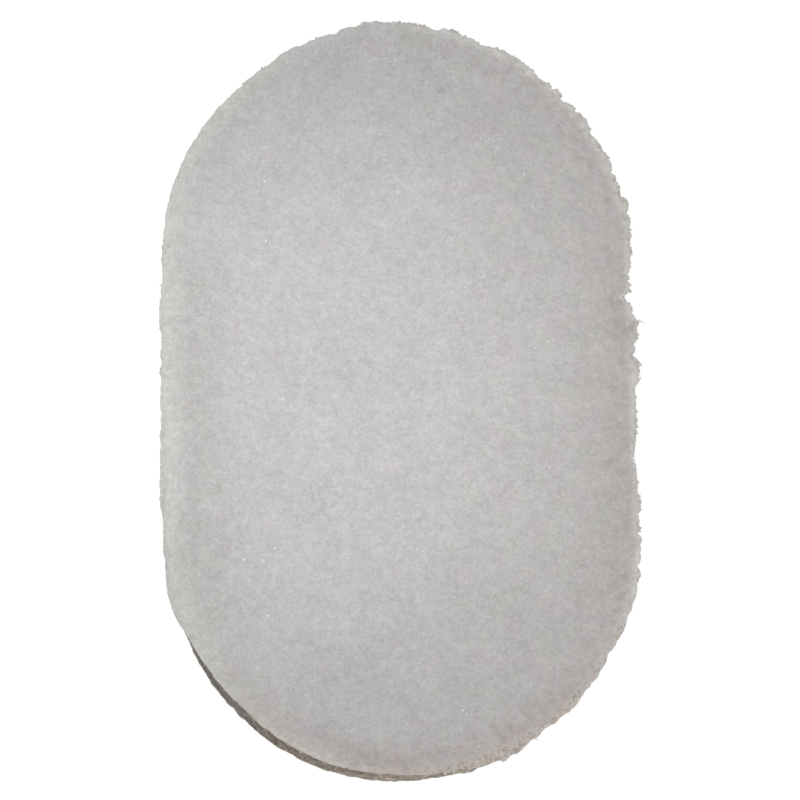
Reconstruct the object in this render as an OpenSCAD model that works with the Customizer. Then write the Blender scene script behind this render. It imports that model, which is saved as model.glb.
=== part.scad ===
// Sponge buffing block for nails, in millimetres.
// A thick foam core carries a sheet of coated abrasive on each broad face, and the
// sandwich is die cut to an oblong with half-round ends. It lies flat on its lower sheet.
// X is the width, Y the length and Z the thickness. The origin is at the centre of the
// lower face, so the block stands on the plane Z = 0.

/* [Block] */
// Overall length, end to end
block_length = 80; // [60:1:120]
// Overall width, which is also the diameter of the round ends
block_width = 50; // [30:1:56]
// Overall thickness over both abrasive faces
block_thickness = 12; // [8:0.5:25]

/* [Rolled edges] */
// Width of the border where each sheet rolls over towards the outline
roll_width = 2.4; // [1.5:0.1:4]
// Height that each sheet loses between its flat face and its cut edge
roll_drop = 0.45; // [0.1:0.05:0.6]

/* [Foam core] */
// Set-back of the foam behind the cut edges of the sheets
foam_inset = 0.15; // [0:0.05:0.5]
// Depth of the hollow in the foam's side wall at mid height
waist_depth = 0.55; // [0.1:0.05:1.5]

/* [Abrasive sheets] */
// Film that bonds each sheet to the foam
adhesive_thickness = 0.12; // [0.05:0.01:0.3]
// Paper backing of each sheet
backing_thickness = 0.24; // [0.1:0.01:0.4]
// Resin coat that anchors the grains to the paper
make_coat_thickness = 0.05; // [0.02:0.01:0.1]
// Grain layer of the upper sheet, the coarser one
upper_grain_thickness = 0.16; // [0.05:0.01:0.3]
// Grain layer of the lower sheet, the finer one
lower_grain_thickness = 0.10; // [0.05:0.01:0.3]
// Pale anti-clog coat over the grains
size_coat_thickness = 0.05; // [0.02:0.01:0.1]

/* [Hidden] */

$fn = 128;

size_coat_colour = "#c6c5c2";
grain_colour = "#a29f99";
make_coat_colour = "#b9a88c";
backing_colour = "#ddd6c6";
adhesive_colour = "#e9e3d0";
foam_colour = "#8f8a84";

// Plan: two half discs joined by a straight run
end_radius = block_width / 2;
straight_length = block_length - block_width;
mid_height = block_thickness / 2;

// Each sheet is flat inside flat_reach and follows an arc from there to the outline.
// The arcs of all the layers share one centre, so every layer keeps its thickness.
flat_reach = end_radius - roll_width;
roll_radius = (pow(roll_width, 2) + pow(roll_drop, 2)) / (2 * roll_drop);
roll_centre_height = block_thickness - roll_radius;

// Depth of each layer's outer surface below the block's own face
grain_depth = size_coat_thickness;
upper_make_depth = grain_depth + upper_grain_thickness;
upper_backing_depth = upper_make_depth + make_coat_thickness;
upper_adhesive_depth = upper_backing_depth + backing_thickness;
upper_foam_depth = upper_adhesive_depth + adhesive_thickness;
lower_make_depth = grain_depth + lower_grain_thickness;
lower_backing_depth = lower_make_depth + make_coat_thickness;
lower_adhesive_depth = lower_backing_depth + backing_thickness;
lower_foam_depth = lower_adhesive_depth + adhesive_thickness;

// The foam's side wall: an arc that passes through its upper and lower corners
foam_reach = end_radius - foam_inset;
foam_roll_reach = foam_reach - flat_reach;
upper_foam_radius = roll_radius - upper_foam_depth;
lower_foam_radius = roll_radius - lower_foam_depth;
foam_wall_top = roll_centre_height + sqrt(pow(upper_foam_radius, 2) - pow(foam_roll_reach, 2));
foam_wall_foot = roll_radius - sqrt(pow(lower_foam_radius, 2) - pow(foam_roll_reach, 2));
foam_wall_half = (foam_wall_top - foam_wall_foot) / 2;
foam_wall_middle = (foam_wall_top + foam_wall_foot) / 2;
waist_radius = (pow(foam_wall_half, 2) + pow(waist_depth, 2)) / (2 * waist_depth);

// Carries a half section, drawn at X >= 0, round the whole oblong outline
module around_outline() {
    rotate([90, 0, 0])
        linear_extrude(height = straight_length, center = true) {
            children();
            mirror([1, 0]) children();
        }
    translate([0, straight_length / 2, 0])
        rotate_extrude(angle = 180) children();
    translate([0, -straight_length / 2, 0])
        rotate([0, 0, 180])
            rotate_extrude(angle = 180) children();
}

// Half section of one layer of the upper sheet, between two depths below the face
module layer_section(outer_depth, inner_depth) {
    layer_thickness = inner_depth - outer_depth;
    translate([0, block_thickness - inner_depth])
        square([flat_reach, layer_thickness]);
    intersection() {
        translate([flat_reach, roll_centre_height])
            difference() {
                circle(r = roll_radius - outer_depth);
                circle(r = roll_radius - inner_depth);
            }
        translate([flat_reach, mid_height])
            square([roll_width, mid_height]);
    }
}

// One layer of the upper sheet
module upper_layer(outer_depth, inner_depth) {
    around_outline() layer_section(outer_depth, inner_depth);
}

// One layer of the lower sheet, which is the upper one's mirror image
module lower_layer(outer_depth, inner_depth) {
    translate([0, 0, block_thickness])
        mirror([0, 0, 1]) upper_layer(outer_depth, inner_depth);
}

// Half section of the foam under the rolled border of both sheets
module foam_border_section() {
    difference() {
        intersection() {
            translate([flat_reach, 0])
                square([foam_roll_reach, block_thickness]);
            translate([flat_reach, roll_centre_height])
                circle(r = upper_foam_radius);
            translate([flat_reach, roll_radius])
                circle(r = lower_foam_radius);
        }
        translate([foam_reach - waist_depth + waist_radius, foam_wall_middle])
            circle(r = waist_radius);
    }
}

module lower_size_coat() {
    color(size_coat_colour)
        lower_layer(0, grain_depth);
}

module lower_grain_layer() {
    color(grain_colour)
        lower_layer(grain_depth, lower_make_depth);
}

module lower_make_coat() {
    color(make_coat_colour)
        lower_layer(lower_make_depth, lower_backing_depth);
}

module lower_backing_paper() {
    color(backing_colour)
        lower_layer(lower_backing_depth, lower_adhesive_depth);
}

module lower_adhesive_film() {
    color(adhesive_colour)
        lower_layer(lower_adhesive_depth, lower_foam_depth);
}

module foam_core() {
    color(foam_colour)
        around_outline() {
            translate([0, lower_foam_depth])
                square([flat_reach, block_thickness - lower_foam_depth - upper_foam_depth]);
            foam_border_section();
        }
}

module upper_adhesive_film() {
    color(adhesive_colour)
        upper_layer(upper_adhesive_depth, upper_foam_depth);
}

module upper_backing_paper() {
    color(backing_colour)
        upper_layer(upper_backing_depth, upper_adhesive_depth);
}

module upper_make_coat() {
    color(make_coat_colour)
        upper_layer(upper_make_depth, upper_backing_depth);
}

module upper_grain_layer() {
    color(grain_colour)
        upper_layer(grain_depth, upper_make_depth);
}

module upper_size_coat() {
    color(size_coat_colour)
        upper_layer(0, grain_depth);
}

lower_size_coat();
lower_grain_layer();
lower_make_coat();
lower_backing_paper();
lower_adhesive_film();
foam_core();
upper_adhesive_film();
upper_backing_paper();
upper_make_coat();
upper_grain_layer();
upper_size_coat();
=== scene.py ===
"""Looks of an oblong nail buffer block: a foam core between two die-cut sheets of coated abrasive.

The scene is in metres in the CAD frame: X across the width, Y along the length, Z up from the
lower face. Shapes are worked out in millimetres, and build() turns them into metres. Elsewhere
a length in millimetres is multiplied by MM.
"""

import math

import bmesh
import bpy
import numpy as np
from mathutils import Matrix, Vector, geometry


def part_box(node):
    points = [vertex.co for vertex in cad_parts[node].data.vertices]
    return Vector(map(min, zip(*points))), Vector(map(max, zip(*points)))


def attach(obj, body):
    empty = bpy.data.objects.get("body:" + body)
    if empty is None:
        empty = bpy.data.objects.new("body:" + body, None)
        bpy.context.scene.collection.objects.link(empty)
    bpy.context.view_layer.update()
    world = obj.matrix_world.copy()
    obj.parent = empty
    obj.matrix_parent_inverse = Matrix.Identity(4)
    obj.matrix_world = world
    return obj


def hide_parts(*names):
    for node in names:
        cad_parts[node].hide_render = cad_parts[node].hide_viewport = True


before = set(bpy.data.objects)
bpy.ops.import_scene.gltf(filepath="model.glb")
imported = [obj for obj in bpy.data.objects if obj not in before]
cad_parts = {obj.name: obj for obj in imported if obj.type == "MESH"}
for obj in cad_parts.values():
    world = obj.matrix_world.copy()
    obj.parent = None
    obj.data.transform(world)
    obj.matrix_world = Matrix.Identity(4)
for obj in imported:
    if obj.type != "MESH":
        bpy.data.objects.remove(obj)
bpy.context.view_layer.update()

MM = 0.001

# ---------------------------------------------------------------- sizes, from the frame
face_low, face_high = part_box("upper_size_coat")
RADIUS = (face_high.x - face_low.x) / 2 / MM
HALF = (face_high.y - face_low.y) / 2 / MM - RADIUS
TOP = face_high.z / MM
LOOP = 4 * HALF + 2 * math.pi * RADIUS

# The sheets' rolled border and the foam's side wall are those of part.scad
ROLL_WIDTH = 2.4  # the border where each sheet rolls over
ROLL_DROP = 0.45  # the height it loses there
ROLL_RADIUS = (ROLL_WIDTH**2 + ROLL_DROP**2) / (2 * ROLL_DROP)
FOAM_INSET = 0.15  # set-back of the foam behind the sheets' cut edges
WAIST = 0.55  # depth of the hollow in the foam's side wall
BORDER = 2.9  # width that is meshed in rings, and over which the cut's stray fades out
COLUMNS = 1500  # points round each ring
EDGE_SEED = {True: 100, False: 400}  # seed of the torn cut of the upper sheet and of the lower one

# The layers of each sheet, from its face to the foam, and the level of each one's outer side
UPPER = [
    "upper_size_coat",
    "upper_grain_layer",
    "upper_make_coat",
    "upper_backing_paper",
    "upper_adhesive_film",
]
LOWER = [name.replace("upper", "lower") for name in UPPER]
UPPER_LEVELS = [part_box(name)[1].z / MM for name in UPPER]
LOWER_LEVELS = [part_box(name)[0].z / MM for name in LOWER]
FOAM_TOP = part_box("foam_core")[1].z / MM
FOAM_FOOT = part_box("foam_core")[0].z / MM


# ---------------------------------------------------------------- noise
def smooth(t):
    """Eases t from 0 to 1."""
    return t * t * t * (t * (6 * t - 15) + 10)


def lumps(x, y, cell, seed):
    """Noise from -1 to 1 whose lumps are about cell wide."""
    table = np.random.default_rng(seed).uniform(-1, 1, (512, 512))
    u, v = x / cell + 256, y / cell + 256
    i, j = np.floor(u).astype(int), np.floor(v).astype(int)
    a, b = smooth(u - i), smooth(v - j)
    i, j = i % 512, j % 512
    k, m = (i + 1) % 512, (j + 1) % 512
    near = table[i, j] * (1 - a) + table[k, j] * a
    far = table[i, m] * (1 - a) + table[k, m] * a
    return near * (1 - b) + far * b


def waves(s, cell, seed):
    """Noise from -1 to 1 along the outline, which it meets again after one turn."""
    count = max(4, round(LOOP / cell))
    table = np.random.default_rng(seed).uniform(-1, 1, count)
    u = (s % LOOP) / LOOP * count
    i = np.floor(u).astype(int) % count
    a = smooth(u - np.floor(u))
    return table[i] * (1 - a) + table[(i + 1) % count] * a


# ---------------------------------------------------------------- the outline
def around(s):
    """Foot points on the middle line and outward normals at arc lengths s.

    Arc length starts at the right side's lower end and runs anticlockwise.
    """
    s = s % LOOP
    on_top = s - 2 * HALF
    on_left = on_top - math.pi * RADIUS
    on_bottom = on_left - 2 * HALF
    angle = np.where(
        on_top < 0,
        0,
        np.where(
            on_left < 0,
            on_top / RADIUS,
            np.where(on_bottom < 0, math.pi, math.pi + on_bottom / RADIUS),
        ),
    )
    y = np.where(
        on_top < 0,
        s - HALF,
        np.where(on_left < 0, HALF, np.where(on_bottom < 0, HALF - on_left, -HALF)),
    )
    return np.stack([0 * s, y], -1), np.stack([np.cos(angle), np.sin(angle)], -1)


# Where the cut of the upper sheet leaves a true oblong: (arc length, how far out), mm
UPPER_CUT = [
    # right side
    (0, -0.10), (3, -0.06), (5, -0.04), (6.8, -0.36), (8.2, -0.42), (10.5, -0.06), (13, 0.06),
    (15.4, 0.06), (17, 0.34), (18.2, 0.50), (19, -0.02), (20, -0.12), (21, 0.48), (22.4, 0.52),
    (23.2, 0.05), (24.3, -0.16), (25.2, -1.0), (25.8, -0.44), (27.5, -0.40),
    # upper end
    (30, 0.02), (31.2, -0.22), (33, 0.20), (35, 0.18), (35.9, 0.28), (36.4, -0.24), (38, -0.24),
    (39.6, 0.0), (41, -0.06), (43.5, -0.18), (45.2, 0.16), (46.4, 0.16), (46.9, -0.14),
    (47.6, -0.06), (48.5, -0.32), (50, -0.06), (51.6, -0.34), (53.4, 0.10), (55.6, 0.20),
    (57, 0.06), (59.5, -0.18), (61.4, 0.18), (63.2, 0.20), (64.9, -0.20), (66.8, 0.42),
    (69, 0.46), (72, 0.46), (74.4, 0.12), (77, -0.02), (80, 0.06), (83, -0.17), (88, -0.29),
    (92, -0.16), (96, -0.04), (102, 0.05), (106, -0.08),
    # left side
    (110, 0.02), (114, 0.36), (119, 0.30), (121, 0.38), (125, 0.48), (128, 0.50), (130, 0.62),
    (135, 0.62), (136.4, 0.40),
    # lower end
    (141, 0.41), (144.5, 0.66), (147, 0.54), (148.8, 0.14), (151, -0.02), (154, -0.13),
    (158, -0.17), (161.5, -0.06), (165, 0.08), (170, 0.10), (175, -0.02), (178.5, 0.05),
    (183, 0.09), (186, 0.48), (187.3, 0.52), (187.8, 0.80), (188.4, 0.56), (189.4, 0.52),
    (190.8, 0.20), (193, 0.06), (196.2, 0.12), (198.5, 0.0), (201.5, 0.02), (203.8, -0.20),
    (206.6, 0.12), (209, 0.08), (211.2, 0.18), (213.4, 0.08), (215.2, -0.14), (216.6, 0.06),
]
SLACK = 0.01  # room for the torn bits that stand out past the upper cut
# The same for the lower sheet
LOWER_CUT = [
    # right side
    (0, -0.1), (20, -0.05),
    # upper end
    (45, 0.05), (70, 0.1), (95, -0.1),
    # left side
    (110, -0.25), (120, -0.05), (130, 0.14), (135, 0.18),
    # lower end
    (139, -0.3), (145, -0.42), (149, -0.50), (153, -0.32), (158, -0.29), (161, -0.12),
    (167, 0.02), (173, 0.14), (176.4, 0.14), (179, 0.02), (182.6, 0.12), (185, 0.28), (189, 0.34),
    (195, 0.05), (206, -0.1),
]


def along_cut(points, s):
    """The cut's stray at arc lengths s, eased from point to point."""
    places = np.array([p for p, _ in points] + [LOOP])
    outs = np.array([o for _, o in points] + [points[0][1]])
    s = s % LOOP
    i = np.searchsorted(places, s, side="right") - 1
    t = (s - places[i]) / (places[i + 1] - places[i])
    ease = 0.5 * (t + t * t * (3 - 2 * t))
    return outs[i] * (1 - ease) + outs[i + 1] * ease


def stray(s, rise):
    """How far the cut leaves a true oblong. Rise is 0 at the lower face and 1 at the upper one."""
    upper = along_cut(UPPER_CUT, s) - SLACK
    return (1 - rise) * along_cut(LOWER_CUT, s) + rise * upper + 0.02 * waves(s, 6.0, 11)


# How ragged the cut is: (arc length in mm, from 0 to 1)
RAGGED = [
    # right side
    (0, 0.85), (14, 0.9), (20, 1.0), (28, 0.9),
    # upper end
    (40, 1.0), (50, 0.8), (66, 0.85), (74, 0.45), (80, 0.3), (92, 0.12), (104, 0.24),
    # left side
    (112, 0.4), (136, 0.4),
    # lower end
    (146, 0.15), (158, 0.15), (178, 0.2), (183, 0.6), (191, 0.36), (200, 0.14), (207, 0.24),
    (213, 0.5),
]


def ragged(s):
    """How ragged the cut is at arc lengths s, from 0 to 1."""
    places = [p for p, _ in RAGGED] + [LOOP]
    amounts = [r for _, r in RAGGED] + [RAGGED[0][1]]
    return np.interp(s % LOOP, places, amounts)


def bites(s, pitch, seed):
    """Rounded lobes of uneven width and reach, with sharp notches between them: from -1 to 1."""
    rng = np.random.default_rng(seed)
    notches = np.append(0, np.cumsum(rng.uniform(0.4, 1.6, round(LOOP / pitch))))
    notches *= LOOP / notches[-1]
    reach = rng.uniform(0.3, 1, len(notches) - 1)
    i = np.clip(np.searchsorted(notches, s % LOOP, side="right") - 1, 0, len(reach) - 1)
    t = 2 * (s % LOOP - notches[i]) / (notches[i + 1] - notches[i]) - 1
    return 2 * reach[i] * np.sqrt(np.clip(1 - t * t, 0, 1)) - 1


def fray(s, seed, depth=1.0):
    """How far the torn edge strays from the cut, mm. Layers of one seed share their tears."""
    torn = 0.20 * bites(s, 1.6, seed) + 0.06 * bites(s, 0.7, seed + 1)
    torn = torn + 0.035 * waves(s, 0.3, seed + 2)
    beads = 0.075 * waves(s, 0.9, seed + 3) + 0.035 * waves(s, 0.45, seed + 4)
    beads = beads + 0.015 * waves(s, 0.2, seed + 5)
    beads = beads * (0.6 + 3.0 * np.minimum(ragged(s), 0.45))
    return depth * (ragged(s) ** 1.5 * torn + beads)


# ---------------------------------------------------------------- mesh helpers
def ring(a, b, n):
    """Quads between two rings of n vertices that start at a and b."""
    i = np.arange(n)
    j = (i + 1) % n
    return np.stack([a + i, a + j, b + j, b + i], -1)


def build(name, verts, faces, material, flat=False):
    """A mesh object from points in mm, smooth shaded unless flat."""
    mesh = bpy.data.meshes.new(name)
    mesh.from_pydata((np.asarray(verts) * MM).tolist(), [], faces)
    work = bmesh.new()
    work.from_mesh(mesh)
    bmesh.ops.recalc_face_normals(work, faces=work.faces)
    work.to_mesh(mesh)
    work.free()
    if not flat:
        mesh.shade_smooth()
    mesh.materials.append(material)
    piece = bpy.data.objects.new(name, mesh)
    bpy.context.scene.collection.objects.link(piece)
    return piece


def sag(inset, radius):
    """How far a surface that rolls over at the border lies below its flat level."""
    into = np.clip(ROLL_WIDTH - inset, 0, ROLL_WIDTH)
    return radius - np.sqrt(radius**2 - into**2)


def ring_points(s, inset, level, upper, edge=0.0):
    """A ring of points that lies inset from the outline on a sheet's surface."""
    foot, normal = around(s)
    hold = np.clip(1 - inset / BORDER, 0, 1) ** 2
    xy = foot + normal * (RADIUS - inset + hold * (stray(s, float(upper)) + edge))[:, None]
    if upper:
        z = level - sag(inset, ROLL_RADIUS - (TOP - level))
    else:
        z = level + sag(inset, ROLL_RADIUS - level)
    return np.column_stack([xy, np.full(len(s), 1.0) * z])


# ---------------------------------------------------------------- sheets
steps = np.arange(COLUMNS) * LOOP / COLUMNS


def hidden_layer(name, outer, inner, upper, seed, back, depth, material):
    """A thin closed layer inside the stack: plain over the flat, and torn at the cut edge."""
    edge = fray(steps, seed, depth) - back
    mid = edge + 0.03 * waves(steps, 0.25, seed + 7)
    insets = [0, 0.5, 1.2, 2.0, BORDER]
    verts, faces = [], []
    for inset in reversed(insets):
        verts.append(ring_points(steps, inset, outer, upper, edge))
    verts.append(ring_points(steps, 0, (outer + inner) / 2, upper, mid))
    for inset in insets:
        verts.append(ring_points(steps, inset, inner, upper, edge))
    for k in range(len(verts) - 1):
        faces += ring(k * COLUMNS, (k + 1) * COLUMNS, COLUMNS).tolist()
    faces.append(list(range(COLUMNS)))
    faces.append(list(range((len(verts) - 1) * COLUMNS, len(verts) * COLUMNS)))
    return build(name, np.concatenate(verts), faces, material)


def grit_height(x, y, seed):
    """The abrasive face's own relief, mm. It never dips through the thin coat."""
    fine = np.random.default_rng(seed).uniform(-1, 1, len(x))
    relief = 0.013 * fine + 0.018 * lumps(x, y, 0.42, seed + 1) + 0.018 * lumps(x, y, 1.1, seed + 2)
    return np.maximum(0.01 + relief + 0.02 * lumps(x, y, 3.2, seed + 3), -0.03)


def inside_loops(points, a, b):
    """Even-odd test of points against the edges from a to b."""
    x, y = points[:, 0][:, None], points[:, 1][:, None]
    crosses = (a[:, 1] > y) != (b[:, 1] > y)
    with np.errstate(divide="ignore", invalid="ignore"):
        at = (b[:, 0] - a[:, 0]) * (y - a[:, 1]) / (b[:, 1] - a[:, 1]) + a[:, 0]
    return (crosses & (x < at)).sum(1) % 2 == 1


def lattice(pitch, keep_inset, seed):
    """A jittered triangular lattice over the flat face: points, triangles and outer edges."""
    rise = pitch * math.sqrt(3) / 2
    rows = int((RADIUS + HALF) / rise) + 1
    cols = int(RADIUS / pitch) + 1
    j, i = np.mgrid[-rows : rows + 1, -cols : cols + 1]
    x = (i + 0.5 * (j % 2)) * pitch
    y = j * rise
    rng = np.random.default_rng(seed)
    x = x + rng.uniform(-0.18, 0.18, x.shape) * pitch
    y = y + rng.uniform(-0.18, 0.18, y.shape) * pitch
    inset = RADIUS - np.hypot(x, np.maximum(np.abs(y) - HALF, 0))
    keep = inset > keep_inset
    at = np.arange(x.size).reshape(x.shape)
    a, b = at[:-1, :-1], at[:-1, 1:]
    c, d = at[1:, :-1], at[1:, 1:]
    odd = (j[:-1, :-1] % 2 == 1)[..., None]
    one = np.where(odd, np.stack([a, b, d], -1), np.stack([a, b, c], -1))
    two = np.where(odd, np.stack([a, d, c], -1), np.stack([b, d, c], -1))
    tris = np.concatenate([one.reshape(-1, 3), two.reshape(-1, 3)])
    tris = tris[keep.ravel()[tris].all(1)]
    pairs = np.concatenate([tris[:, [0, 1]], tris[:, [1, 2]], tris[:, [2, 0]]])
    ends = np.sort(pairs, 1)
    key = ends[:, 0] * at.size + ends[:, 1]
    _, first, count = np.unique(key, return_index=True, return_counts=True)
    rim = pairs[first[count == 1]]
    used = np.unique(tris)
    number = np.full(at.size, -1)
    number[used] = np.arange(len(used))
    points = np.column_stack([x.ravel()[used], y.ravel()[used]])
    return points, number[tris], number[rim]


def stitch(loop_xy, points, rim):
    """Triangles that fill the gap between a ring and the lattice inside it."""
    n = len(loop_xy)
    own = np.unique(rim)
    number = {int(v): n + k for k, v in enumerate(own)}
    flat = [Vector(p) for p in loop_xy.tolist()] + [Vector(p) for p in points[own].tolist()]
    edges = [(k, (k + 1) % n) for k in range(n)]
    edges += [(number[int(a)], number[int(b)]) for a, b in rim]
    _, _, tris, source, _, _ = geometry.delaunay_2d_cdt(flat, edges, [], 0, 1e-7)
    back = [ids[0] for ids in source]
    tris = np.array([[back[v] for v in t] for t in tris])
    xy = np.array([p[:] for p in flat])
    middle = xy[tris].mean(1)
    in_ring = inside_loops(middle, loop_xy, np.roll(loop_xy, -1, 0))
    in_lattice = inside_loops(middle, points[rim[:, 0]], points[rim[:, 1]])
    tris = tris[in_ring & ~in_lattice]
    lookup = np.concatenate([np.arange(n), n + own])
    return lookup[tris]


def face_coat(name, outer, inner, upper, seed, back, material):
    """The thin coat over the grains: granular outside, and worn back in places from the cut."""
    worn = 0.5 + 0.9 * waves(steps, 1.3, seed + 9) + 0.5 * waves(steps, 0.45, seed + 10)
    worn = np.clip(worn, 0, 1)
    edge = fray(steps, seed) - back - 0.24 * worn * ragged(steps)
    side = 1 if upper else -1
    insets = [0, 0.08, 0.2, 0.36, 0.54, 0.74, 0.95, 1.17, 1.4, 1.64, 1.88, 2.13, 2.38, 2.64, BORDER]
    below = [ring_points(steps, inset, inner, upper, edge) for inset in (BORDER, 1.4, 0)]
    shell = [ring_points(steps, inset, outer, upper, edge) for inset in insets]
    for k, points in enumerate(shell):
        points[:, 2] += side * grit_height(points[:, 0], points[:, 1], seed + 20 + k)
    verts, faces = below + shell, []
    for k in range(len(verts) - 1):
        faces += ring(k * COLUMNS, (k + 1) * COLUMNS, COLUMNS).tolist()
    faces.append(list(range(COLUMNS)))
    start = len(verts) * COLUMNS
    points, tris, rim = lattice(0.22, BORDER + 0.16, seed + 5)
    level = outer + side * grit_height(points[:, 0], points[:, 1], seed + 50)
    flat = np.column_stack([points, level])
    last = start - COLUMNS
    gap = stitch(shell[-1][:, :2], points, rim)
    gap = np.where(gap < COLUMNS, gap + last, gap - COLUMNS + start)
    faces += (tris + start).tolist() + gap.tolist()
    return build(name, np.concatenate(verts + [flat]), faces, material)


# ---------------------------------------------------------------- grains, crumbs and fibres
RIM_CLEAR = 0.35  # grains on a face stay this far in from the outline
GOLD = (1 + math.sqrt(5)) / 2
# An icosahedron of radius 1: every chip is one, with its corners moved
SOLID = np.array(
    [(-1, GOLD, 0), (1, GOLD, 0), (-1, -GOLD, 0), (1, -GOLD, 0)]
    + [(0, -1, GOLD), (0, 1, GOLD), (0, -1, -GOLD), (0, 1, -GOLD)]
    + [(GOLD, 0, -1), (GOLD, 0, 1), (-GOLD, 0, -1), (-GOLD, 0, 1)]
) / math.hypot(1, GOLD)
SOLID_FACES = np.array(
    [(0, 11, 5), (0, 5, 1), (0, 1, 7), (0, 7, 10), (0, 10, 11)]
    + [(1, 5, 9), (5, 11, 4), (11, 10, 2), (10, 7, 6), (7, 1, 8)]
    + [(3, 9, 4), (3, 4, 2), (3, 2, 6), (3, 6, 8), (3, 8, 9)]
    + [(4, 9, 5), (2, 4, 11), (6, 2, 10), (8, 6, 7), (9, 8, 1)]
)


def turned(rng, count):
    """Random rotation matrices."""
    q = rng.normal(size=(count, 4))
    w, x, y, z = (q / np.linalg.norm(q, axis=1)[:, None]).T
    return np.stack(
        [
            np.stack([1 - 2 * (y * y + z * z), 2 * (x * y - z * w), 2 * (x * z + y * w)], -1),
            np.stack([2 * (x * y + z * w), 1 - 2 * (x * x + z * z), 2 * (y * z - x * w)], -1),
            np.stack([2 * (x * z - y * w), 2 * (y * z + x * w), 1 - 2 * (x * x + y * y)], -1),
        ],
        1,
    )


def chips(centres, sizes, seed, jag=0.45, shape=None, axes=None):
    """Irregular closed chips, one at each centre. Shape and axes make flakes that lie one way."""
    rng = np.random.default_rng(seed)
    n = len(centres)
    reach = rng.uniform(1 - jag, 1 + jag, (n, 12, 1)) * sizes[:, None, None] / 2
    if shape is None:
        shape = rng.uniform(0.65, 1.25, (n, 3))
    if axes is None:
        axes = turned(rng, n)
    local = np.einsum("nij,nvj->nvi", axes, SOLID[None] * reach * shape[:, None, :])
    verts = (local + centres[:, None, :]).reshape(-1, 3)
    faces = (SOLID_FACES[None] + 12 * np.arange(n)[:, None, None]).reshape(-1, 3)
    return verts, faces.tolist()


def scatter_on_face(count, seed):
    """Points spread over the oblong: x and y."""
    rng = np.random.default_rng(seed)
    x = rng.uniform(-RADIUS, RADIUS, count * 2)
    y = rng.uniform(-RADIUS - HALF, RADIUS + HALF, count * 2)
    inset = RADIUS - np.hypot(x, np.maximum(np.abs(y) - HALF, 0))
    ok = np.flatnonzero(inset > RIM_CLEAR)[:count]
    return x[ok], y[ok]


def face_grains(name, upper, count, low, high, proud, seed, material, herd=1, spots=None):
    """Grains that stand proud of the coat on one face, alone or up to herd of them close together.

    Spots is the seed of their places, where those aren't their own.
    """
    rng = np.random.default_rng(seed + 1)
    x, y = scatter_on_face(count, spots or seed)
    many = rng.integers(1, herd + 1, len(x))
    x, y = np.repeat(x, many), np.repeat(y, many)
    if herd > 1:
        x, y = x + rng.normal(0, 0.9, len(x)), y + rng.normal(0, 0.9, len(x))
    inset = RADIUS - np.hypot(x, np.maximum(np.abs(y) - HALF, 0))
    ok = inset > RIM_CLEAR
    x, y, inset = x[ok], y[ok], inset[ok]
    size = low + (high - low) * rng.random(len(x)) ** 3
    drop = sag(inset, ROLL_RADIUS)
    up = (proud - 0.5) * size
    z = TOP - drop + up if upper else drop - up
    verts, faces = chips(np.column_stack([x, y, z]), size, seed + 2)
    return build(name, verts, faces, material, flat=True)


def rim_points(s, upper, inset):
    """Points on a sheet's rolled border, inset from its torn cut, and the outward normals."""
    foot, normal = around(s)
    out = fray(s, EDGE_SEED[upper]) + stray(s, float(upper)) - inset
    drop = sag(np.clip(inset, 0, ROLL_WIDTH), ROLL_RADIUS)
    level = TOP - drop if upper else drop
    return np.column_stack([foot + normal * (RADIUS + out)[:, None], level]), normal


def edge_crumbs(name, upper, per_mm, seed, material):
    """Crumbs of torn grit and coat along the ragged stretches of a sheet's cut edge."""
    rng = np.random.default_rng(seed)
    s = rng.uniform(0, LOOP, int(per_mm * LOOP))
    s = s[rng.random(len(s)) < ragged(s) ** (2 if upper else 3)]
    size = np.clip(rng.lognormal(-2.0, 0.42, len(s)), 0.06, 0.38)
    at, _ = rim_points(s, upper, rng.normal(-0.01, 0.07, len(s)))
    deep = rng.uniform(0.0, 0.5, len(s)) ** 1.2
    at[:, 2] += -deep if upper else deep
    verts, faces = chips(at, size, seed + 1, 0.5)
    return build(name, verts, faces, material, flat=True)


def torn_flakes(name, upper, per_mm, seed, material):
    """Flat flakes of paper and coat that the die has torn up at the cut. Some poke out past it."""
    rng = np.random.default_rng(seed)
    s = rng.uniform(0, LOOP, int(per_mm * LOOP))
    s = s[rng.random(len(s)) < ragged(s) ** 2.2]
    n = len(s)
    size = np.clip(rng.lognormal(-1.5, 0.35, n), 0.12, 0.42)
    at, normal = rim_points(s, upper, rng.uniform(0.02, 0.45, n))
    at[:, 2] += (0.02 if upper else -0.02) - rng.uniform(0, 0.3, n) * (1 if upper else -1)
    swing = rng.normal(0, 1.0, n)
    out = np.column_stack([normal, np.zeros(n)])
    along = np.column_stack([-normal[:, 1], normal[:, 0], np.zeros(n)])
    one = out * np.cos(swing)[:, None] + along * np.sin(swing)[:, None]
    one[:, 2] = rng.normal(-0.1 if upper else 0.1, 0.3, n)
    one /= np.linalg.norm(one, axis=1)[:, None]
    up = np.column_stack([rng.normal(0, 0.4, (n, 2)), np.ones(n)])
    two = np.cross(up, one)
    two /= np.linalg.norm(two, axis=1)[:, None]
    three = np.cross(one, two)
    axes = np.stack([one, two, three], -1)
    spans = (1.1, 2.0), (0.6, 1.1), (0.18, 0.4)
    shape = np.column_stack([rng.uniform(*span, n) for span in spans])
    verts, faces = chips(at, size, seed + 1, 0.4, shape, axes)
    return build(name, verts, faces, material, flat=True)


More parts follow.
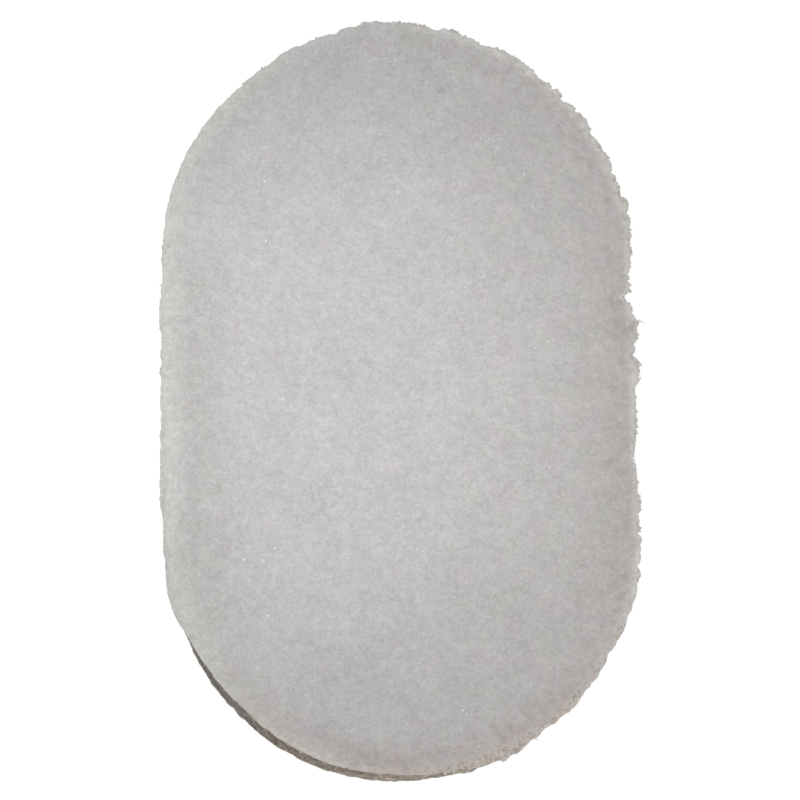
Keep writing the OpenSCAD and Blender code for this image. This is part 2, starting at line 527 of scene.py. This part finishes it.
def fibres(name, upper, starts, seed, material):
    """Paper fibres at the cut: (arc length, length, thickness, inset of the root, curl) each."""
    rng = np.random.default_rng(seed)
    sides, rings = 5, 9
    verts, faces = [], []
    for s, length, thick, inset, curl in starts:
        root, normal = rim_points(np.array([s]), upper, np.array([inset]))
        at = root[0]
        at[2] += (0.5 * thick if inset > 0.1 else -rng.uniform(0.05, 0.4)) * (1 if upper else -1)
        out = np.append(normal[0], 0.0)
        along = np.array([-out[1], out[0], 0.0])
        way = out + rng.uniform(-0.9, 0.9) * (1 + curl) * along
        way = way + np.array([0, 0, rng.uniform(-0.4, 0.25)])
        way /= np.linalg.norm(way)
        bend = rng.normal(0, 0.5 + 1.4 * max(curl, 0), 3) * (1, 1, 0.4)
        path = []
        for _ in range(rings):
            path.append(at.copy())
            at = at + way * length / (rings - 1)
            way = way + bend * 0.35 / rings + rng.normal(0, 0.10, 3)
            way /= np.linalg.norm(way)
        base = len(verts)
        for k, point in enumerate(path):
            ahead = path[min(k + 1, rings - 1)] - path[max(k - 1, 0)]
            ahead /= np.linalg.norm(ahead)
            one = np.cross(ahead, [0.2, 0.3, 0.93])
            one /= np.linalg.norm(one)
            two = np.cross(ahead, one)
            r = thick / 2 * (1 - 0.7 * k / (rings - 1))
            for m in range(sides):
                t = 2 * math.pi * m / sides
                verts.append(point + r * (math.cos(t) * one + math.sin(t) * two))
        for k in range(rings - 1):
            for m in range(sides):
                n = (m + 1) % sides
                a = base + k * sides
                faces.append([a + m, a + n, a + sides + n, a + sides + m])
        faces.append([base + m for m in range(sides)])
        faces.append([base + (rings - 1) * sides + m for m in range(sides)])
    return build(name, verts, faces, material)


# ---------------------------------------------------------------- foam
def foam(name, material):
    """The sponge core: a waisted side wall of cut cells, closed by plain faces under the sheets."""
    cols, rows, count = COLUMNS, 64, 9500
    s = steps
    wall_top = FOAM_TOP - sag(FOAM_INSET, ROLL_RADIUS - (TOP - FOAM_TOP))
    wall_foot = FOAM_FOOT + sag(FOAM_INSET, ROLL_RADIUS - FOAM_FOOT)
    z = np.linspace(wall_foot, wall_top, rows)
    step_s, step_z = LOOP / cols, z[1] - z[0]
    pits = np.zeros((rows, cols))
    rng = np.random.default_rng(31)
    radius = np.clip(rng.lognormal(-1.5, 0.45, count), 0.09, 0.6)
    at_s, at_z = rng.uniform(0, LOOP, count), rng.uniform(wall_foot - 0.2, wall_top + 0.2, count)
    deep = rng.uniform(0.45, 0.85, count)
    for r, ps, pz, d in zip(radius, at_s, at_z, deep):
        i0, i1 = int((ps - r) / step_s), int((ps + r) / step_s) + 2
        j0 = max(0, int((pz - r - wall_foot) / step_z))
        j1 = min(rows, int((pz + r - wall_foot) / step_z) + 2)
        if j1 <= j0:
            continue
        i = np.arange(i0, i1)
        away = ((i[None] * step_s - ps) ** 2 + (z[j0:j1, None] - pz) ** 2) / r**2
        hole = d * r * np.sqrt(np.clip(1 - away, 0, 1))
        part = pits[j0:j1, i % cols]
        pits[j0:j1, i % cols] = np.maximum(part, hole)
    half = (wall_top - wall_foot) / 2
    waist_radius = (half**2 + WAIST**2) / (2 * WAIST)
    off = z - (wall_top + wall_foot) / 2
    hollow = WAIST - (waist_radius - np.sqrt(waist_radius**2 - off**2))
    taper = np.clip(np.minimum(z - wall_foot, wall_top - z) / 0.25, 0, 1)
    foot, normal = around(s)
    verts, faces = [], []
    ripple = 0.06 * waves(s, 2.2, 61) + 0.06 * waves(s, 0.9, 62) + 0.04 * waves(s, 0.45, 63)
    rough = rng.uniform(-0.012, 0.012, (rows, cols))
    caps = [0.5, 1.2, 2.0, BORDER]
    for inset in reversed(caps):
        verts.append(ring_points(s, inset, FOAM_FOOT, False, -FOAM_INSET))
    for k in range(rows):
        base = stray(s, k / (rows - 1)) + ripple
        reach = RADIUS - FOAM_INSET + base - hollow[k] - taper[k] * (pits[k] - 0.04) + rough[k]
        verts.append(np.column_stack([foot + normal * reach[:, None], np.full(cols, z[k])]))
    for inset in caps:
        verts.append(ring_points(s, inset, FOAM_TOP, True, -FOAM_INSET))
    for k in range(len(verts) - 1):
        faces += ring(k * cols, (k + 1) * cols, cols).tolist()
    faces.append(list(range(cols)))
    faces.append(list(range((len(verts) - 1) * cols, len(verts) * cols)))
    return build(name, np.concatenate(verts), faces, material)


# ---------------------------------------------------------------- materials
class Look:
    """A material under construction. Texture scales are given as the size of one lump in mm."""

    def __init__(self, name, roughness, specular=0.5):
        self.material = bpy.data.materials.new(name)
        self.material.use_nodes = True
        self.tree = self.material.node_tree
        self.shader = self.tree.nodes["Principled BSDF"]
        self.shader.inputs["Roughness"].default_value = roughness
        self.shader.inputs["Specular IOR Level"].default_value = specular
        self.place = self.tree.nodes.new("ShaderNodeTexCoord").outputs["Object"]

    def add(self, kind, links=None, **settings):
        node = self.tree.nodes.new(kind)
        for key, value in settings.items():
            setattr(node, key, value)
        for key, value in (links or {}).items():
            socket = node.inputs[key]
            if isinstance(value, bpy.types.NodeSocket):
                self.tree.links.new(value, socket)
            else:
                socket.default_value = value
        return node

    def noise(self, size, detail=2.0, tall=1.0):
        """Cloudy noise around 0.5. Tall stretches its lumps upwards."""
        place = self.place
        if tall != 1.0:
            links = {0: self.place, 1: (1.0, 1.0, 1 / tall)}
            place = self.add("ShaderNodeVectorMath", links, operation="MULTIPLY").outputs[0]
        links = {"Vector": place, "Scale": 1 / (size * MM), "Detail": detail}
        return self.add("ShaderNodeTexNoise", links).outputs["Fac"]

    def maths(self, operation, one, two=0.0):
        return self.add("ShaderNodeMath", {0: one, 1: two}, operation=operation).outputs[0]

    def axis(self, which):
        """One coordinate of the place, m."""
        return self.add("ShaderNodeSeparateXYZ", {0: self.place}).outputs[which]

    def inset(self):
        """Distance in from the oblong's outline, m."""
        beyond = self.maths("SUBTRACT", self.maths("ABSOLUTE", self.axis(1)), HALF * MM)
        flat = self.add("ShaderNodeCombineXYZ", {0: self.axis(0), 1: self.maths("MAXIMUM", beyond)})
        reach = self.add("ShaderNodeVectorMath", {0: flat.outputs[0]}, operation="LENGTH")
        return self.maths("SUBTRACT", RADIUS * MM, reach.outputs["Value"])

    def cells(self, size, output="Distance"):
        links = {"Vector": self.place, "Scale": 1 / (size * MM)}
        return self.add("ShaderNodeTexVoronoi", links).outputs[output]

    def spread(self, value, low, high, to_low=0.0, to_high=1.0):
        links = {"Value": value, "From Min": low, "From Max": high}
        links |= {"To Min": to_low, "To Max": to_high}
        return self.add("ShaderNodeMapRange", links).outputs["Result"]

    def near(self, value, middle, far, close):
        """1 where the value is within close of the middle, falling to 0 at far from it."""
        away = self.maths("ABSOLUTE", self.maths("SUBTRACT", value, middle))
        return self.spread(away, far, close)

    def sums(self, *values):
        out = values[0]
        for value in values[1:]:
            out = self.maths("ADD", out, value)
        return out

    def times(self, *values):
        out = values[0]
        for value in values[1:]:
            out = self.maths("MULTIPLY", out, value)
        return out

    def mix(self, factor, one, two, blend="MIX"):
        links = {0: factor, 6: one, 7: two}
        return self.add("ShaderNodeMix", links, data_type="RGBA", blend_type=blend).outputs[2]

    def tint(self, factor, colour, tint):
        """The colour multiplied by a tint where the factor is 1, and as it was where it is 0."""
        return self.mix(1.0, colour, self.mix(factor, (1, 1, 1, 1), (*tint, 1)), "MULTIPLY")

    def shade(self, colour, amount):
        """The colour made brighter or darker by a factor around 1."""
        grey = self.add("ShaderNodeCombineColor", {0: amount, 1: amount, 2: amount}).outputs[0]
        return self.mix(1.0, colour, grey, "MULTIPLY")

    def bump(self, height, distance, strength):
        links = {"Height": height, "Distance": distance * MM, "Strength": strength}
        node = self.add("ShaderNodeBump", links)
        self.tree.links.new(node.outputs["Normal"], self.shader.inputs["Normal"])

    def colour(self, value):
        """Sets the base colour, and gives the finished material."""
        self.tree.links.new(value, self.shader.inputs["Base Color"])
        return self.material


def grit_look(name, base, grain):
    """Pale anti-clog coat over grit: a grey mosaic of grains, soft clouds and a faint tinge.

    It has a painted highlight at the rim, is darker along the long sides, and is rusty at the front
    right.
    """
    look = Look(name, 0.82, 0.35)
    side, depth, inset = look.axis(0), look.axis(1), look.inset()
    wander = look.spread(look.noise(2.5, 2), 0.3, 0.7, -1.0 * MM, 1.0 * MM)
    each = look.add("ShaderNodeSeparateColor", {0: look.cells(grain, output="Color")}).outputs[0]
    amount = look.sums(
        look.spread(each, 0, 1, 0.95, 1.05),
        look.spread(look.noise(0.34, 2), 0.25, 0.75, -0.09, 0.09),
        look.spread(look.noise(0.85, 1), 0.25, 0.75, -0.055, 0.055),
        look.spread(look.noise(1.9, 1), 0.25, 0.75, -0.034, 0.034),
        look.spread(look.noise(5.0, 2), 0.25, 0.75, -0.03, 0.03),
    )
    cool = (base[0] * 0.997, base[1] * 0.988, base[2] * 1.014, 1)
    leafy = (base[0] * 0.998, base[1] * 1.002, base[2] * 0.983, 1)
    rosy = (base[0] * 1.032, base[1] * 0.980, base[2] * 0.992, 1)
    colour = look.mix(look.spread(look.noise(1.6, 2), 0.4, 0.6), cool, leafy)
    colour = look.mix(look.spread(look.noise(3.0, 2), 0.50, 0.70, 0, 0.9), colour, rosy)

    # rosier towards one side
    blushed = look.spread(look.sums(side, wander, wander), 3 * MM, 21 * MM)
    colour = look.tint(blushed, colour, (1.014, 0.982, 0.970))

    # where the pale rim border, a painted highlight, lies: wide on the lit left, narrow on the
    # right, weaker at the back
    corner = look.times(look.spread(side, 6 * MM, 14 * MM), look.spread(depth, 14 * MM, 26 * MM))
    width = look.spread(side, -20 * MM, 2 * MM, 1.6 * MM, 0.65 * MM)
    width = look.sums(width, look.times(corner, 0.3 * MM))
    fade = look.spread(side, -20 * MM, 2 * MM, 1.1 * MM, 0.4 * MM)
    edge = look.spread(look.maths("DIVIDE", look.maths("SUBTRACT", width, inset), fade), -1, 1)
    bare = look.near(side, -6 * MM, 12 * MM, 6 * MM)
    bare = look.times(bare, look.spread(depth, 26 * MM, 34 * MM, 0.0, 0.7))
    patchy = look.spread(look.noise(0.7, 3), 0.35, 0.6, 0.4, 0.95)
    patchy = look.times(patchy, look.maths("SUBTRACT", 1.0, bare))

    # darker along the long sides, a few mm in from the rim
    long_side_dark = look.spread(look.sums(inset, wander), 8.0 * MM, 3.6 * MM)
    long_side_dark = look.times(long_side_dark, look.maths("SUBTRACT", 1.0, edge))
    long_side_dark = look.times(long_side_dark, look.spread(depth, 19 * MM, 7 * MM))
    long_side_dark = look.times(long_side_dark, look.spread(depth, -27 * MM, -20 * MM))
    colour = look.tint(long_side_dark, colour, (1.0, 1.0, 0.982))
    darker = look.spread(side, -12 * MM, 12 * MM, -0.092, -0.04)
    amount = look.sums(amount, look.times(long_side_dark, darker))

    # the pale rim border itself: painted highlight
    pale, paler = (0.603, 0.610, 0.574, 1), (0.690, 0.680, 0.660, 1)
    rim_highlight = look.mix(look.spread(side, -15 * MM, -2 * MM), pale, paler)
    colour = look.mix(look.times(edge, patchy), colour, rim_highlight)

    # reddish brown mottle in a ring inside the rim, on the right
    ring = look.near(inset, 2.0 * MM, 1.7 * MM, 0.7 * MM)
    mottle = look.spread(look.noise(1.0, 3), 0.48, 0.64, 0.0, 0.75)
    ruddy = look.times(look.spread(side, -12 * MM, 4 * MM), ring, mottle)
    colour = look.mix(ruddy, colour, (0.520, 0.466, 0.450, 1))

    # pinker and darker inside the rim at the front, most of all in one patch near its middle
    pink = look.spread(depth, -25 * MM, -35 * MM)
    pink = look.times(pink, look.spread(inset, 4.5 * MM, 1.8 * MM))
    colour = look.tint(pink, colour, (0.955, 0.910, 0.900))
    front_dark_patch = look.near(side, -3.2 * MM, 5.0 * MM, 2.5 * MM)
    front_dark_patch = look.times(front_dark_patch, look.spread(inset, 2.4 * MM, 0.9 * MM))
    front_dark_patch = look.times(front_dark_patch, look.spread(depth, -33 * MM, -37 * MM))
    colour = look.tint(front_dark_patch, colour, (0.90, 0.885, 0.89))

    # rust at the cut on the front right, and painted shadow round the worst tear among its curled
    # fibres
    front = look.times(look.spread(depth, -20 * MM, -29 * MM), look.spread(side, -6 * MM, 4 * MM))
    rust_and_tear_shadow = look.times(front, look.near(inset, 0.05 * MM, 0.85 * MM, 0.35 * MM))
    away = look.add("ShaderNodeVectorMath", {0: look.place, 1: TEAR_AT}, operation="DISTANCE")
    torn = look.spread(away.outputs["Value"], 2.4 * MM, 0.8 * MM, 0.0, 0.5)
    rust_and_tear_shadow = look.maths("MAXIMUM", rust_and_tear_shadow, torn)
    rust_and_tear_shadow = look.times(rust_and_tear_shadow, look.spread(look.noise(0.45, 3), 0.42, 0.64, 0.12, 0.78))
    colour = look.mix(rust_and_tear_shadow, colour, (0.395, 0.325, 0.265, 1))

    # painted shadows of the beads: dark nicks right at the cut on the pale side
    bead_shadows = look.times(look.spread(side, 0, -12 * MM), look.spread(inset, 0.1 * MM, -0.25 * MM))
    bead_shadows = look.times(bead_shadows, look.spread(look.noise(0.7, 2), 0.45, 0.6, 0.0, 0.4))
    colour = look.mix(bead_shadows, colour, (0.40, 0.40, 0.395, 1))

    # a painted highlight along the cut at the front left, pale as bare paper, where the rolled
    # border turns from the lamps
    cut = look.spread(inset, 0.4 * MM, 0.0, 0.0, 0.6)
    cut = look.times(cut, look.spread(depth, -12 * MM, -20 * MM))
    cut = look.times(cut, look.times(patchy, look.spread(side, -4 * MM, -10 * MM)))
    cut = look.times(cut, look.spread(side, -23.6 * MM, -21.4 * MM))
    colour = look.mix(cut, colour, (0.74, 0.70, 0.66, 1))

    height = look.sums(
        look.spread(look.cells(grain), 0, 0.7, 1, 0),
        look.spread(look.noise(0.28, 2), 0.2, 0.8, 0, 1.6),
    )
    look.bump(height, 0.03, 0.8)
    return look.colour(look.shade(colour, amount))


def plain_look(name, base, other, lump, roughness, bump, specular=0.4, stain=None):
    """A matt surface of two close colours in small lumps, stained in patches if a third is given.

    It is darker and browner towards the front, less so on the right: painted shade on the cut edges
    there.
    """
    look = Look(name, roughness, specular)
    cloud = look.spread(look.noise(lump, 3), 0.3, 0.7)
    fine = look.spread(look.noise(lump / 4, 2), 0.25, 0.75, 0.93, 1.07)
    look.bump(look.noise(lump / 2, 3), bump, 0.7)
    colour = look.mix(cloud, (*base, 1), (*other, 1))
    if stain:
        colour = look.mix(look.spread(look.noise(0.8, 3), 0.56, 0.66), colour, (*stain, 1))
    # painted shade: darker and browner towards the front, where the cut edges face away from the
    # light
    front_shade = look.spread(look.axis(1), -22 * MM, -33 * MM)
    front_shade = look.times(front_shade, look.spread(look.axis(0), 8 * MM, 3 * MM, 0.2, 1.0))
    colour = look.tint(front_shade, colour, (0.84, 0.80, 0.77))
    return look.colour(look.shade(colour, fine))


TEAR_AT = ((RADIUS - 0.5) * MM, 6.6 * MM, TOP * MM)  # the worst torn place
COAT = (0.5465, 0.55, 0.5515)
coat_look = grit_look("anti_clog_coat", COAT, 0.16)
coat_under_look = grit_look("anti_clog_coat_fine", COAT, 0.11)
grit_tones = (0.57, 0.555, 0.53), (0.70, 0.685, 0.655)
grain_look = plain_look("abrasive_grain", *grit_tones, 0.16, 0.6, 0.02, stain=(0.50, 0.46, 0.42))
resin_look = plain_look("bond_resin", (0.36, 0.30, 0.235), (0.44, 0.38, 0.31), 0.4, 0.45, 0.01, 0.5)
paper_tones = (0.56, 0.52, 0.465), (0.69, 0.66, 0.61)
paper_look = plain_look("backing_paper", *paper_tones, 0.25, 0.85, 0.02, stain=(0.47, 0.42, 0.365))
crumb_look = plain_look("torn_grit", (0.58, 0.57, 0.55), (0.70, 0.69, 0.665), 0.2, 0.8, 0.01)
flake_tones = (0.575, 0.56, 0.54), (0.70, 0.685, 0.66)
flake_look = plain_look("torn_paper", *flake_tones, 0.5, 0.8, 0.01, stain=(0.56, 0.53, 0.50))
fibre_look = plain_look("paper_fibre", (0.62, 0.60, 0.57), (0.80, 0.785, 0.755), 0.2, 0.85, 0.005)
speck_look = plain_look("dark_grain", (0.31, 0.30, 0.29), (0.42, 0.405, 0.39), 0.2, 0.5, 0.01)

# Adhesive: paler towards one side, like the foam beside it: painted light where the warm lamp falls
film = Look("adhesive_film", 0.6, 0.3)
lit_right = film.spread(film.axis(0), -14 * MM, -5 * MM)
film.bump(film.noise(0.3, 3), 0.01, 0.7)
film_tone = film.mix(lit_right, (0.33, 0.315, 0.29, 1), (0.50, 0.465, 0.425, 1))
glue_look = film.colour(film.shade(film_tone, film.spread(film.noise(0.4, 2), 0.25, 0.75, 0.85, 1.15)))

# Painted glints: the pale colour of these grains stands in for light glinting off their facets, on
# top of their real gloss
glint = Look("clear_grain", 0.3, 0.7)
pick = glint.spread(glint.noise(0.6, 1), 0.35, 0.65)
glint_look = glint.colour(glint.mix(pick, (0.66, 0.66, 0.65, 1), (0.87, 0.87, 0.86, 1)))

# Foam: open cells, streaked by the die, with painted shade in the pores and a painted shadow under
# the upper sheet. It is paler at its foot, and paler and browner to one side: painted light.
sponge = Look("foam", 0.9, 0.25)
across = sponge.sums(sponge.axis(0), sponge.spread(sponge.noise(6.0, 2), 0.3, 0.7, -3 * MM, 3 * MM))
olive, brown, lit_brown = (0.160, 0.156, 0.144, 1), (0.206, 0.175, 0.151, 1), (0.268, 0.227, 0.191, 1)
# painted light and shade: dark olive on the left, paler brown to the right where the warm lamp
# falls
tone = sponge.mix(sponge.spread(across, -21 * MM, -13 * MM), olive, brown)
tone = sponge.mix(sponge.spread(across, -8 * MM, 0.0), tone, lit_brown)
level = sponge.axis(2)
foot = sponge.spread(level, 2.0 * MM, 0.6 * MM)
foot = sponge.times(foot, sponge.spread(across, -13 * MM, -4 * MM, 0.2, 0.8))
# painted shadow: darker under the overhang of the upper sheet
shadow = sponge.spread(level, (TOP - 0.6) * MM, (TOP - 4.0) * MM, 0.70, 1.0)
shade_and_foot = sponge.times(sponge.sums(foot, 1.0), shadow)
streaks = sponge.sums(
    sponge.spread(sponge.noise(1.0, 3, tall=0.9), 0.3, 0.7, 0.80, 1.20),
    sponge.spread(sponge.noise(0.35, 2, tall=5.0), 0.3, 0.7, -0.22, 0.22),
)
# painted shade in the pores: darker towards the middle of each cell, with uneven tone among the
# small cells
pores = sponge.times(
    sponge.spread(sponge.cells(0.80), 0.12, 0.32, 0.55, 1.0),
    sponge.spread(sponge.cells(0.50), 0.12, 0.36, 0.60, 1.0),
)
hollows = sponge.times(pores, sponge.spread(sponge.cells(0.26), 0.0, 0.55, 0.80, 1.20))
sponge.bump(sponge.sums(pores, sponge.spread(sponge.noise(0.15, 2), 0, 1, 0, 0.4)), 0.12, 0.9)
foam_look = sponge.colour(sponge.shade(tone, sponge.times(hollows, sponge.times(shade_and_foot, streaks))))

# ---------------------------------------------------------------- pieces
COAT_BACK = 0.07  # how far the coat's edge lies behind the cut
# The layers under the coat, outermost first: slot, set-back from the cut, depth of its tears, look
BENEATH = [
    ("abrasive_grain", 0.0, 1.0, grain_look),
    ("bond_resin", 0.03, 0.8, resin_look),
    ("backing_paper", 0.0, 0.7, paper_look),
    ("adhesive_film", 0.06, 0.6, glue_look),
]


def place(piece, slot, *nodes):
    """Lets a piece ride on the block, in place of any nodes given. Its slot is not used."""
    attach(piece, "root")
    if nodes:
        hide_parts(*nodes)
    return piece


for upper, names, levels, face_look in (
    (True, UPPER, UPPER_LEVELS + [FOAM_TOP], coat_look),
    (False, LOWER, LOWER_LEVELS + [FOAM_FOOT], coat_under_look),
):
    seed = EDGE_SEED[upper]
    coat = face_coat(names[0] + "_cut", levels[0], levels[1], upper, seed, COAT_BACK, face_look)
    place(coat, "anti_clog_coat", names[0])
    for k, (slot, back, tear, look) in enumerate(BENEATH, start=1):
        title = names[k] + "_cut"
        layer = hidden_layer(title, levels[k], levels[k + 1], upper, seed, back, tear, look)
        place(layer, slot, names[k])

core = place(foam("foam_core_sponge", foam_look), "foam", "foam_core")

# name, on the upper face, count, smallest and largest in mm, share proud, seed, look, herd, spots
for row in (
    ("upper_coated_grains", True, 3200, 0.11, 0.24, 0.30, 501, coat_look),
    ("lower_coated_grains", False, 2600, 0.08, 0.16, 0.30, 521, coat_under_look),
    ("upper_bright_grains", True, 190, 0.09, 0.30, 0.40, 541, glint_look, 4),
    ("lower_bright_grains", False, 130, 0.08, 0.20, 0.42, 561, glint_look, 3),
    ("upper_dark_grains", True, 55, 0.10, 0.17, 0.30, 581, speck_look, 3, 541),
):
    place(face_grains(*row), "abrasive_grain")
place(edge_crumbs("upper_edge_crumbs", True, 9, 601, crumb_look), "abrasive_grain")
place(edge_crumbs("lower_edge_crumbs", False, 10, 621, crumb_look), "abrasive_grain")

place(torn_flakes("upper_torn_flakes", True, 7, 641, flake_look), "backing_paper")
place(torn_flakes("lower_torn_flakes", False, 5, 661, flake_look), "backing_paper")

# Fibres: single ones along the cut, curled ones in torn tufts, and a few spikes that stand out
draw = np.random.default_rng(77)
places = draw.uniform(0, LOOP, 120)
places = places[draw.random(len(places)) < 0.6 * ragged(places) ** 2]
single = [(s, draw.uniform(0.25, 0.7), draw.uniform(0.03, 0.055), 0.05, 0.0) for s in places]
# (middle of a tuft along the outline, its spread, number of fibres)
TUFTS = [(21.4, 1.4, 26), (18.0, 0.5, 6), (46.0, 0.7, 6), (34.0, 0.8, 4), (9.5, 0.7, 4)]
TUFTS += [(4.5, 0.6, 4), (68.5, 1.2, 4), (189.5, 0.8, 5), (198.0, 1.5, 5), (206.6, 0.6, 5)]
curls = []
for middle, spread, count in TUFTS:
    for _ in range(count):
        at, length = draw.normal(middle, spread / 2), draw.uniform(0.4, 0.8)
        thick, inset = draw.uniform(0.07, 0.13), draw.uniform(0.3, 0.8)
        curls.append((at, length, thick, inset, 1.0))
spikes = [(22.6, 1.0, 0.15, 0.12, -1.0), (22.8, 0.8, 0.12, 0.1, -0.9), (45.4, 0.8, 0.08, 0.05, 0.0)]
spikes += [(17.8, 0.7, 0.09, 0.1, 0.0), (191.6, 0.7, 0.12, 0.0, 0.0), (31.8, 0.7, 0.07, 0.0, 0.0)]
place(fibres("upper_edge_fibres", True, single + curls + spikes, 701, fibre_look), "backing_paper")
place(fibres("lower_edge_fibres", False, single[::2], 721, fibre_look), "backing_paper")

# ---------------------------------------------------------------- stage, light and camera
# A floor that glows nearly white, for the photo's white ground
FLOOR_REACH = 6.0
FLOOR_GAP = 0.1 * MM
floor_look = Look("pale_floor", 0.9, 0.2)
floor_tone = floor_look.spread(floor_look.noise(60.0, 2), 0.3, 0.7, 0.985, 1.0)
floor_look.shader.inputs["Emission Color"].default_value = (1, 1, 1, 1)
floor_look.shader.inputs["Emission Strength"].default_value = 0.88
floor_material = floor_look.colour(floor_look.shade((0.30, 0.30, 0.30, 1), floor_tone))
work = bmesh.new()
bmesh.ops.create_grid(work, x_segments=4, y_segments=4, size=FLOOR_REACH)
mesh = bpy.data.meshes.new("floor")
work.to_mesh(mesh)
work.free()
mesh.materials.append(floor_material)
floor = bpy.data.objects.new("floor", mesh)
floor.location.z = -FLOOR_GAP
bpy.context.scene.collection.objects.link(floor)

# A studio that is brighter near the horizon than overhead
world = bpy.data.worlds.new("studio")
bpy.context.scene.world = world
world.use_nodes = True
tree = world.node_tree
way = tree.nodes.new("ShaderNodeTexCoord")
split = tree.nodes.new("ShaderNodeSeparateXYZ")
ramp = tree.nodes.new("ShaderNodeMapRange")
tree.links.new(way.outputs["Generated"], split.inputs[0])
tree.links.new(split.outputs["Z"], ramp.inputs["Value"])
for socket, value in (("From Min", 0.05), ("From Max", 0.45), ("To Min", 1.15), ("To Max", 0.722)):
    ramp.inputs[socket].default_value = value
tree.links.new(ramp.outputs["Result"], tree.nodes["Background"].inputs["Strength"])
tree.nodes["Background"].inputs["Color"].default_value = (1.0, 0.993, 0.984, 1)


def lamp(name, kind, watts, at, target, colour, **settings):
    data = bpy.data.lights.new(name, kind)
    data.energy = watts
    data.color = colour
    for key, value in settings.items():
        setattr(data, key, value)
    piece = bpy.data.objects.new(name, data)
    piece.location = Vector(at)
    piece.rotation_euler = (Vector(target) - Vector(at)).to_track_quat("-Z", "Y").to_euler()
    bpy.context.scene.collection.objects.link(piece)


BLOCK = (0, 0, TOP * MM)
lamp("key_softbox", "AREA", 0.3, (-0.36, 0.25, 0.42), BLOCK, (1.0, 0.97, 0.93), size=0.35)
lamp("warm_bounce", "AREA", 0.2, (0.293, -0.391, 0.085), BLOCK, (1.0, 0.85, 0.72), size=0.25)
lamp(
    "overhead_spot",
    "SPOT",
    2.5,
    (-0.07, 0.06, 0.5),
    (-0.009, 0.002, TOP * MM),
    (0.97, 1.0, 1.0),
    spot_size=math.radians(8.7),
    spot_blend=1.0,
    shadow_soft_size=0.008,
)

# The camera looks at the middle of the block from nearly overhead
SIGHT = Vector((-0.0864, -0.1409, 0.9862)).normalized()  # from the block to the camera
AIM = Vector((0.0003, 0.0003, 0.006))
UP = Vector((0.0232, 0.9997, 0))
DISTANCE = 0.45
FOCAL_LENGTH = 189.3
rightward = UP.cross(SIGHT).normalized()
upward = SIGHT.cross(rightward)
camera_data = bpy.data.cameras.new("camera")
camera_data.sensor_width = 36
camera_data.lens = FOCAL_LENGTH
camera_data.clip_start = 0.01
camera = bpy.data.objects.new("camera", camera_data)
turn = Matrix((rightward, upward, SIGHT)).transposed().to_4x4()
camera.matrix_world = Matrix.Translation(AIM + SIGHT * DISTANCE) @ turn
bpy.context.scene.collection.objects.link(camera)
bpy.context.scene.camera = camera
bpy.context.scene.view_settings.view_transform = "Standard"
